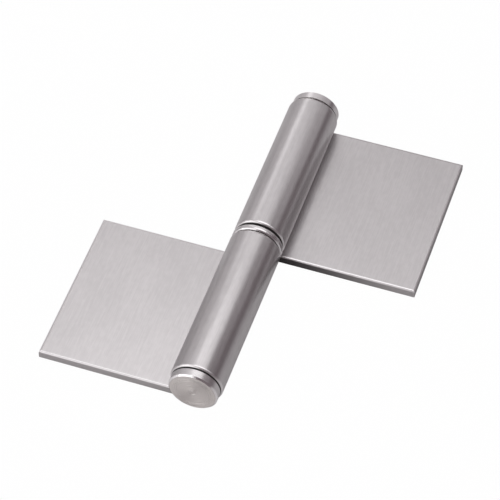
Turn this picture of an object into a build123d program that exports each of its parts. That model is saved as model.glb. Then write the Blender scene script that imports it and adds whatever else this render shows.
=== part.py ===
from build123d import *
import os
from math import asin, cos, degrees, radians, sin

# Lift-off flag hinge with rolled knuckles, lying open and flat. All sizes are in millimetres.
# The pin runs along Y and the leaves spread along X. The undersides of both leaves lie on Z = 0,
# and the origin is under the middle of the pin. The lower half, which holds the pin, is on -Y.

# Leaves: two equal blanks of stainless sheet, each rolled into its own knuckle
sheet_thickness = 3.0
leaf_length = 60.0
leaf_reach = 55.0
curl_seam = 0.25
leaf_edge_round = 0.8
knuckle_rim_round = 1.0
bore_chamfer = 0.5

# Hinge pin: pressed into the lower knuckle, running in the upper one
pin_diameter = 12.0
pin_running_clearance = 0.05
pin_end_space = 1.0
pin_nose_length = 3.0
pin_nose_depth = 1.2
pin_foot_chamfer = 0.8

# Thrust ring between the two knuckles
knuckle_gap = 3.4
ring_rim_inset = 0.05
ring_rim_round = 1.0
ring_foot_length = 0.25
ring_shoulder_length = 1.3
ring_shoulder_inset = 2.0

# End plugs: a turned head on a neck that seats on the knuckle's end
plug_head_thickness = 3.0
plug_head_inset = 0.6
plug_head_chamfer = 0.5
plug_neck_length = 0.5
plug_neck_inset = 2.0
plug_spigot_length = 8.0
plug_spigot_chamfer = 0.8

# Places that follow from the sizes above
bore_radius = pin_diameter / 2
knuckle_radius = bore_radius + sheet_thickness
axis_height = knuckle_radius
inner_end = knuckle_gap / 2
outer_end = inner_end + leaf_length
spigot_end = outer_end - plug_spigot_length
pin_end = spigot_end - pin_end_space
running_radius = bore_radius - pin_running_clearance
pin_axis = Axis((0, 0, axis_height), (0, 1, 0))
half_turn = Rotation(0, 0, 180)


def rolled_leaf():
    """The lower blank: a flat leaf that curls under the pin, round it and back to its own face."""
    return flat_leaf() + knuckle()


def flat_leaf():
    """The flat part, from its outer edge to under the pin, with its upper edges rolled over."""
    corner = Pos(-leaf_reach, -outer_end, 0)
    plate = corner * Box(leaf_reach, leaf_length, sheet_thickness, align=Align.MIN)
    top_edges = plate.edges().group_by(Axis.Z)[-1]
    free_edges = top_edges.sort_by(Axis.X)[:-1]
    return fillet(free_edges, leaf_edge_round)


def knuckle():
    """The curled part, from under the pin round to a slit above the leaf, with rounded rims."""
    drop_to_seam = knuckle_radius - sheet_thickness - curl_seam
    curl_angle = 270 + degrees(asin(drop_to_seam / knuckle_radius))
    centre = (0, axis_height)
    with BuildPart() as curl:
        with BuildSketch(Plane.XZ.offset(inner_end)):
            with BuildLine():
                outside = CenterArc(centre, knuckle_radius, -90, curl_angle)
                inside = CenterArc(centre, bore_radius, -90, curl_angle)
                Line(outside @ 1, inside @ 1)
                Line(inside @ 0, outside @ 0)
            make_face()
        extrude(amount=leaf_length)
        chamfer(round_edges(curl)[0], bore_chamfer)
        fillet(round_edges(curl)[-1], knuckle_rim_round)
    return curl.part


def round_edges(piece):
    """The circular edges of a piece in groups of one radius, from the smallest to the largest."""
    return piece.edges().filter_by(GeomType.CIRCLE).group_by(SortBy.RADIUS)


def turned(outline):
    """A solid turned about the pin axis from (place along the pin, radius) points."""
    with BuildPart() as piece:
        with BuildSketch(Plane.YZ):
            with BuildLine():
                Polyline(*[(place, axis_height + radius) for place, radius in outline], close=True)
            make_face()
        revolve(axis=pin_axis)
    return piece.part


def hinge_pin():
    """Full diameter in the lower knuckle, eased above it, with a long nose for hanging the leaf."""
    return turned([
        (-pin_end, 0),
        (-pin_end, bore_radius - pin_foot_chamfer),
        (-pin_end + pin_foot_chamfer, bore_radius),
        (-inner_end, bore_radius),
        (-inner_end, running_radius),
        (pin_end - pin_nose_length, running_radius),
        (pin_end, running_radius - pin_nose_depth),
        (pin_end, 0),
    ])


def thrust_ring():
    """A washer on a low foot, with a rolled lower rim and a shoulder that carries the upper half."""
    rim_radius = knuckle_radius - ring_rim_inset
    shoulder_radius = knuckle_radius - ring_shoulder_inset
    rim_end = inner_end - ring_shoulder_length
    return turned([
        (-inner_end, bore_radius),
        (-inner_end, rim_radius - ring_rim_round),
        *rolled_rim(-inner_end + ring_foot_length, rim_radius, ring_rim_round),
        (rim_end, rim_radius),
        (rim_end, shoulder_radius),
        (inner_end, shoulder_radius),
        (inner_end, bore_radius),
    ])


def rolled_rim(face, radius, size):
    """Points that roll a rim over in three flats, from its face up to its full radius."""
    turns = [radians(turn) for turn in (0, 30, 60, 90)]
    return [(face + size * (1 - cos(turn)), radius - size * (1 - sin(turn))) for turn in turns]


def end_plug():
    """The upper plug: spigot pressed into the bore, neck on the knuckle's end, chamfered head."""
    head_radius = knuckle_radius - plug_head_inset
    neck_radius = knuckle_radius - plug_neck_inset
    neck_end = outer_end + plug_neck_length
    head_end = neck_end + plug_head_thickness
    return turned([
        (spigot_end, 0),
        (spigot_end, bore_radius - plug_spigot_chamfer),
        (spigot_end + plug_spigot_chamfer, bore_radius),
        (outer_end, bore_radius),
        (outer_end, neck_radius),
        (neck_end, neck_radius),
        (neck_end, head_radius),
        (head_end - plug_head_chamfer, head_radius),
        (head_end, head_radius - plug_head_chamfer),
        (head_end, 0),
    ])


lower_leaf = rolled_leaf()
upper_plug = end_plug()
parts = {
    "lower_leaf": lower_leaf,
    "upper_leaf": half_turn * lower_leaf,
    "hinge_pin": hinge_pin(),
    "thrust_ring": thrust_ring(),
    "lower_plug": half_turn * upper_plug,
    "upper_plug": upper_plug,
}

os.makedirs("parts", exist_ok=True)
for name, solid in parts.items():
    export_step(solid, f"parts/{name}.step")
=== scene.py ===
import math

import bpy
from mathutils import Matrix, Quaternion, Vector


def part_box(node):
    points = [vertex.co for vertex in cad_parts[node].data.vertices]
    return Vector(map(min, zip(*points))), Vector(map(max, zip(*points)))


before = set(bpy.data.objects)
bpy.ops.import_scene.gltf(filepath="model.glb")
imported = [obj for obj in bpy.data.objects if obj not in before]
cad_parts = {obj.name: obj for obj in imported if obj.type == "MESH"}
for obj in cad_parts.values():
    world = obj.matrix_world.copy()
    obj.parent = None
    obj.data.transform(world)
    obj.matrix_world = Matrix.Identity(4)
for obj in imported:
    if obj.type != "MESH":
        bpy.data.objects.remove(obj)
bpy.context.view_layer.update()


# Leaves
# Two equal blanks of 3 mm stainless sheet, brushed along the pin before they were cut and rolled.
# Rolling and handling have burnished the knuckles. The rounded edges are painted lighter, partly as
# wear and partly as a painted highlight. The sheared outer ends carry painted shade, and painted
# shade darkens the knuckles' end faces and the inner cut faces next to the knuckles.


class Wire:
    """An output socket. Sums, differences and products of wires and numbers add Math nodes."""

    def __init__(self, maker, socket):
        self.maker = maker
        self.socket = socket

    def maths(self, operation, *values):
        inputs = dict(enumerate(values))
        return self.maker.node("ShaderNodeMath", {"operation": operation}, inputs)

    def __add__(self, other):
        return self.maths("ADD", self, other)

    def __sub__(self, other):
        return self.maths("SUBTRACT", self, other)

    def __rsub__(self, other):
        return self.maths("SUBTRACT", other, self)

    def __mul__(self, other):
        return self.maths("MULTIPLY", self, other)

    def __abs__(self):
        return self.maths("ABSOLUTE", self)

    __radd__ = __add__
    __rmul__ = __mul__


class Nodes:
    """The nodes of a new material or world. node() adds one and gives the wire of an output."""

    def __init__(self, owner):
        owner.use_nodes = True
        self.owner = owner
        self.tree = owner.node_tree
        self.tree.nodes.clear()

    def node(self, kind, settings, inputs, output=0):
        made = self.tree.nodes.new(kind)
        for name, value in settings.items():
            setattr(made, name, value)
        for key, value in inputs.items():
            if isinstance(value, Wire):
                self.tree.links.new(value.socket, made.inputs[key])
            else:
                made.inputs[key].default_value = value
        return Wire(self, made.outputs[output] if made.outputs else None)

    def blend(self, amount, first, second):
        """Colour first where amount is 0 and colour second where it is 1."""
        colours = {"Factor": amount, "A": first, "B": second}
        return self.node("ShaderNodeMix", {"data_type": "RGBA"}, colours, "Result")


class Finish(Nodes):
    """A bare metal that varies with the place and the facing of each point of the piece."""

    def __init__(self, name):
        super().__init__(bpy.data.materials.new(name))
        self.place = self.node("ShaderNodeTexCoord", {}, {}, "Object")
        self.facing = self.node("ShaderNodeTexCoord", {}, {}, "Normal")

    def part_of(self, vector, axis):
        return self.node("ShaderNodeSeparateXYZ", {}, {0: vector}, axis)

    def off_axis(self, axis_height):
        """The distance from the pin's axis, in metres."""
        lowered = {0: self.place, 1: (0.0, 0.0, -axis_height)}
        centred = self.node("ShaderNodeVectorMath", {"operation": "ADD"}, lowered)
        flat = {0: centred, 1: (1.0, 0.0, 1.0)}
        across = self.node("ShaderNodeVectorMath", {"operation": "MULTIPLY"}, flat)
        return self.node("ShaderNodeVectorMath", {"operation": "LENGTH"}, {0: across}, "Value")

    def noise(self, scale, stretch, detail):
        """Noise of about scale cells a metre, drawn out along an axis where stretch is small."""
        drawn = self.node("ShaderNodeMapping", {}, {"Vector": self.place, "Scale": stretch})
        sizes = {"Vector": drawn, "Scale": scale, "Detail": detail}
        return self.node("ShaderNodeTexNoise", {}, sizes, "Fac")

    def rises(self, value, limits):
        """0 below both limits, 1 above them, and a smooth change between them."""
        low, high = limits
        sockets = {0: value, 1: low, 2: high}
        return self.node("ShaderNodeMapRange", {"interpolation_type": "SMOOTHSTEP"}, sockets)

    def falls(self, value, limits):
        """1 below both limits, 0 above them, and a smooth change between them."""
        return 1.0 - self.rises(value, limits)

    def metal(self, colour, roughness, relief):
        """Closes the material as bare metal. Its relief is a height in metres."""
        bump = {"Strength": 1.0, "Distance": 1.0, "Height": relief}
        normal = self.node("ShaderNodeBump", {}, bump)
        values = {"Base Color": colour, "Metallic": 1.0, "Roughness": roughness, "Normal": normal}
        shader = self.node("ShaderNodeBsdfPrincipled", {}, values)
        self.node("ShaderNodeOutputMaterial", {}, {"Surface": shader})
        return self.owner


def brushed_sheet(name, axis_height, leaf_reach):
    """The finish of both leaves. Lengths are in metres, and a facing of 1 is square on."""
    steel = (0.582, 0.568, 0.572, 1.0)
    steel_in_grain = (0.523, 0.510, 0.514, 1.0)
    burnished = (0.607, 0.592, 0.596, 1.0)
    burnished_in_grain = (0.545, 0.531, 0.535, 1.0)
    worn_rim_painted_highlight = (0.78, 0.765, 0.77, 1.0)
    sheared_end_painted_shade = (0.27, 0.255, 0.26, 1.0)
    cut_edge = (0.58, 0.563, 0.567, 1.0)
    painted_crevice_shade = (0.13, 0.12, 0.122, 1.0)
    painted_end_face_shade = (0.1, 0.095, 0.095, 1.0)
    finish = Finish(name)

    # The brushing, as a colour that changes from stroke to stroke.
    hairlines = finish.noise(scale=5200, stretch=(1.0, 0.02, 1.0), detail=2.0)
    streaks = finish.noise(scale=1300, stretch=(1.0, 0.12, 1.0), detail=2.0)
    mottle = finish.noise(scale=650, stretch=(1.0, 0.6, 1.0), detail=2.0)
    waves = finish.noise(scale=60, stretch=(1.0, 0.6, 1.0), detail=1.0)
    grain_levels = (0.38, 0.62)
    above_leaf = (0.003, 0.004)
    worn = 0.4 * hairlines + 0.15 * streaks + 0.25 * mottle + 0.2 * waves
    grain = finish.rises(worn, grain_levels)
    flat_part = finish.blend(grain, steel_in_grain, steel)
    knuckle = finish.blend(grain, burnished_in_grain, burnished)
    rolled = finish.rises(finish.part_of(finish.place, "Z"), above_leaf)
    brushed = finish.blend(rolled, flat_part, knuckle)

    # The rounded edges, and the flat ends that the leaves were sheared to.
    tilted = (0.1, 0.3)
    square_on = (0.8, 0.97)
    end_strip = (leaf_reach - 0.003, leaf_reach - 0.002)
    along_pin = abs(finish.part_of(finish.facing, "Y"))
    outward = abs(finish.part_of(finish.facing, "X"))
    outer_end = finish.rises(abs(finish.part_of(finish.place, "X")), end_strip)
    side_rims = finish.rises(along_pin, tilted) * finish.falls(along_pin, square_on)
    end_rims = outer_end * finish.rises(outward, tilted) * finish.falls(outward, square_on)
    # The rounded edges are painted lighter: partly wear, partly a painted highlight.
    brushed = finish.blend(side_rims + end_rims, brushed, worn_rim_painted_highlight)
    # The sheared outer end faces are painted darker: painted shade.
    brushed = finish.blend(outer_end * finish.rises(outward, square_on), brushed, sheared_end_painted_shade)

    # The cut faces, which look along the pin. The back of a knuckle is flush with its leaf's.
    knuckle_radius = axis_height
    end_face = (knuckle_radius - 0.0004, knuckle_radius - 0.0001)
    crevice_shade_reach = (knuckle_radius, leaf_reach - 0.001)
    inner_side = (0.002, 0.01)
    radius = finish.off_axis(axis_height)
    inner = finish.falls(abs(finish.part_of(finish.place, "Y")), inner_side)
    # Painted shade: the inner cut faces are painted darker towards the knuckle.
    crevice_shade = inner * finish.falls(radius, crevice_shade_reach)
    crevice_shaded = finish.blend(crevice_shade, cut_edge, painted_crevice_shade)
    # The knuckles' end faces, inside the slots by the plugs, are painted dark: painted shade.
    bare_cut = finish.blend(finish.falls(radius, end_face), crevice_shaded, painted_end_face_shade)
    cut = finish.rises(along_pin, square_on)
    colour = finish.blend(cut, brushed, bare_cut)

    brushed_roughness = 0.28
    streak_roughness = 0.03
    cut_roughness = 0.44
    roughness = brushed_roughness + streak_roughness * streaks + cut_roughness * cut
    scratch_depth = 6e-6
    wave_depth = 1e-4
    relief = scratch_depth * (hairlines + mottle) + wave_depth * waves
    return finish.metal(colour, roughness, relief)


low_corner, high_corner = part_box("hinge_pin")
axis_height = (low_corner[2] + high_corner[2]) / 2
leaf_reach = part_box("upper_leaf")[1][0]
sheet_finish = brushed_sheet("brushed_stainless_sheet", axis_height, leaf_reach)
for name in ("lower_leaf", "upper_leaf"):
    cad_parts[name].data.materials[0] = sheet_finish


# Hinge pin, thrust ring and end plugs
# All are turned from stainless bar, so their fine tool marks run round the pin's axis: as rings
# on the rims, and as deeper circles on the plugs' faces. The bevels were polished last, and their
# lighter colour is partly a painted highlight. The grooves' floors are painted dark as painted
# shade.


def turned_bar(name, axis_height, face_marks, polish):
    """A turned finish. face_marks is the extra depth, in metres, of the marks on a face."""
    steel = (0.72, 0.705, 0.71, 1.0)
    steel_in_marks = (0.64, 0.625, 0.63, 1.0)
    faced_steel = (0.84, 0.802, 0.777, 1.0)
    polished_bevel_painted_highlight = (0.88, 0.865, 0.87, 1.0)
    painted_groove_shade = (0.13, 0.122, 0.123, 1.0)
    finish = Finish(name)

    # The tool's travel grows along a rim and across a face, and each cut has its own tone.
    marks_per_metre = 4200
    mark_levels = (0.3, 0.7)
    radius = finish.off_axis(axis_height)
    travel = radius + finish.part_of(finish.place, "Y")
    rings = {"W": travel, "Scale": marks_per_metre, "Detail": 2.0}
    marks = finish.node("ShaderNodeTexNoise", {"noise_dimensions": "1D"}, rings, "Fac")
    turned = finish.blend(finish.rises(marks, mark_levels), steel_in_marks, steel)

    # Faces look along the pin, bevels slant, and the floor of a groove looks away from the pin.
    slanted = (0.2, 0.5)
    past_slant = (0.8, 0.95)
    square_on = (0.9, 0.97)
    tilted = (0.1, 0.3)
    above_pin = (0.0062, 0.0066)
    below_rim = (0.0074, 0.0078)
    along_pin = abs(finish.part_of(finish.facing, "Y"))
    face = finish.rises(along_pin, square_on)
    polished = polish * finish.rises(along_pin, slanted) * finish.falls(along_pin, past_slant)
    in_groove = finish.rises(radius, above_pin) * finish.falls(radius, below_rim)
    groove_floor = finish.falls(along_pin, tilted) * in_groove
    turned = finish.blend(face, turned, faced_steel)
    # The bevels' lighter colour is partly polish and partly a painted highlight.
    turned = finish.blend(polished, turned, polished_bevel_painted_highlight)
    # The floor of a groove is painted dark: painted shade in the recess.
    colour = finish.blend(groove_floor, turned, painted_groove_shade)

    turned_roughness = 0.26
    mark_roughness = 0.04
    polish_gain = 0.14
    roughness = turned_roughness + mark_roughness * marks - polish_gain * polished
    mark_depth = 1.2e-5
    relief = (mark_depth + face_marks * face) * marks
    return finish.metal(colour, roughness, relief)


ring_finish = turned_bar("turned_stainless", axis_height, face_marks=0.0, polish=0.5)
plug_finish = turned_bar("faced_stainless", axis_height, face_marks=2.6e-4, polish=1.0)
for name in ("hinge_pin", "thrust_ring"):
    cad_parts[name].data.materials[0] = ring_finish
for name in ("lower_plug", "upper_plug"):
    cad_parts[name].data.materials[0] = plug_finish


# Table
# A plain pale table under the hinge, with a lacquered top that the metal mirrors. The camera
# sees little more of it than the hinge's faint shadow on white, and looks through it to a leaf
# that has swung down past its top. From below it hides nothing.
white = (1.0, 1.0, 1.0, 1.0)
table_size = 6.0
under_leaves = -0.0001


def ray(nodes, kind):
    """1 for rays of one kind and 0 for the others."""
    return nodes.node("ShaderNodeLightPath", {}, {}, kind)


def layered(nodes, amount, first, second):
    """Surface first where amount is 0 and surface second where it is 1."""
    return nodes.node("ShaderNodeMixShader", {}, {0: amount, 1: first, 2: second})


def pale_table(name):
    """Lacquer to the lamps, a little whiter in the metal, and clear to the camera and from below."""
    lacquer_tone = (0.67, 0.67, 0.67, 1.0)
    lacquer_roughness = 0.3
    white_in_metal = 0.05
    clear_to_camera = 0.99
    table = Nodes(bpy.data.materials.new(name))
    values = {"Base Color": lacquer_tone, "Roughness": lacquer_roughness}
    lacquer = table.node("ShaderNodeBsdfPrincipled", {}, values)
    glow = table.node("ShaderNodeEmission", {}, {"Color": white, "Strength": 1.0})
    clear = table.node("ShaderNodeBsdfTransparent", {}, {})
    mirrored = ray(table, "Is Glossy Ray") + ray(table, "Is Transmission Ray")
    top = layered(table, white_in_metal * mirrored, lacquer, glow)
    from_below = table.node("ShaderNodeNewGeometry", {}, {}, "Backfacing")
    seen_through = clear_to_camera * ray(table, "Is Camera Ray") + from_below
    surface = layered(table, seen_through, top, clear)
    table.node("ShaderNodeOutputMaterial", {}, {"Surface": surface})
    return table.owner


bpy.ops.mesh.primitive_plane_add(size=table_size, location=(0.0, 0.0, under_leaves))
table_top = bpy.context.object
table_top.name = "table_top"
table_top.data.materials.append(pale_table("pale_table"))


# Studio
# The walls are white to the camera and a dim mauve to the metal. One softbox hangs over the
# hinge, a second stands at the camera's left, and weaker ones stand behind it and at its sides.
dim_mauve = (0.103, 0.071, 0.082, 1.0)
wall_white_in_metal = 0.08
studio = Nodes(bpy.data.worlds.new("studio"))
mirrored = ray(studio, "Is Glossy Ray") + ray(studio, "Is Transmission Ray")
whiteness = ray(studio, "Is Camera Ray") + wall_white_in_metal * mirrored
walls = {"Color": studio.blend(whiteness, dim_mauve, white)}
glow = studio.node("ShaderNodeBackground", {}, walls)
studio.node("ShaderNodeOutputWorld", {}, {"Surface": glow})
bpy.context.scene.world = studio.owner


def softbox(name, place, width, height, brightness):
    """A lit rectangle that faces the hinge. Metal shows it at the given brightness."""
    lamp = bpy.data.lights.new(name, "AREA")
    lamp.shape = "RECTANGLE"
    lamp.size = width
    lamp.size_y = height
    lamp.energy = brightness * math.pi * width * height
    box = bpy.data.objects.new(name, lamp)
    box.location = place
    across = Vector((-place[2], 0.0, place[0])).normalized()
    outward = Vector(place).normalized()
    along = outward.cross(across)
    box.rotation_euler = Matrix((across, along, outward)).transposed().to_euler()
    box.visible_camera = False
    bpy.context.scene.collection.objects.link(box)


softbox("overhead", (0.07, 0.083, 1.197), width=1.10, height=1.40, brightness=1.43)
softbox("front_left", (-0.712, -0.839, 0.504), width=1.04, height=1.62, brightness=1.22)
softbox("low_left", (-1.08, -0.504, 0.144), width=0.28, height=0.50, brightness=0.75)
softbox("left", (-0.832, 0.411, 0.761), width=1.48, height=1.82, brightness=0.46)
softbox("right", (0.77, -0.20, 0.90), width=0.30, height=0.70, brightness=0.90)
softbox("back_right", (0.357, 0.895, 0.715), width=1.30, height=0.46, brightness=0.41)
softbox("back_left", (-0.463, 0.969, 0.534), width=0.34, height=0.78, brightness=0.80)


# Camera
# The photograph looks down on the open hinge from its near right, through a long lens.
camera_azimuth = math.radians(18.754)
camera_elevation = math.radians(50.709)
camera_roll = math.radians(-0.044)
camera_distance = 0.8373
aim = Vector((-0.00382, 0.003557, 0.0))
away = Vector((
    math.sin(camera_azimuth) * math.cos(camera_elevation),
    -math.cos(camera_azimuth) * math.cos(camera_elevation),
    math.sin(camera_elevation),
))
camera = bpy.data.objects.new("camera", bpy.data.cameras.new("camera"))
camera.data.lens = 176.93
camera.data.sensor_width = 36.0
camera.location = aim + away * camera_distance
camera.rotation_mode = "QUATERNION"
camera.rotation_quaternion = (-away).to_track_quat("-Z", "Y") @ Quaternion((0, 0, 1), camera_roll)
bpy.context.scene.collection.objects.link(camera)
bpy.context.scene.camera = camera
bpy.context.scene.view_settings.view_transform = "Standard"
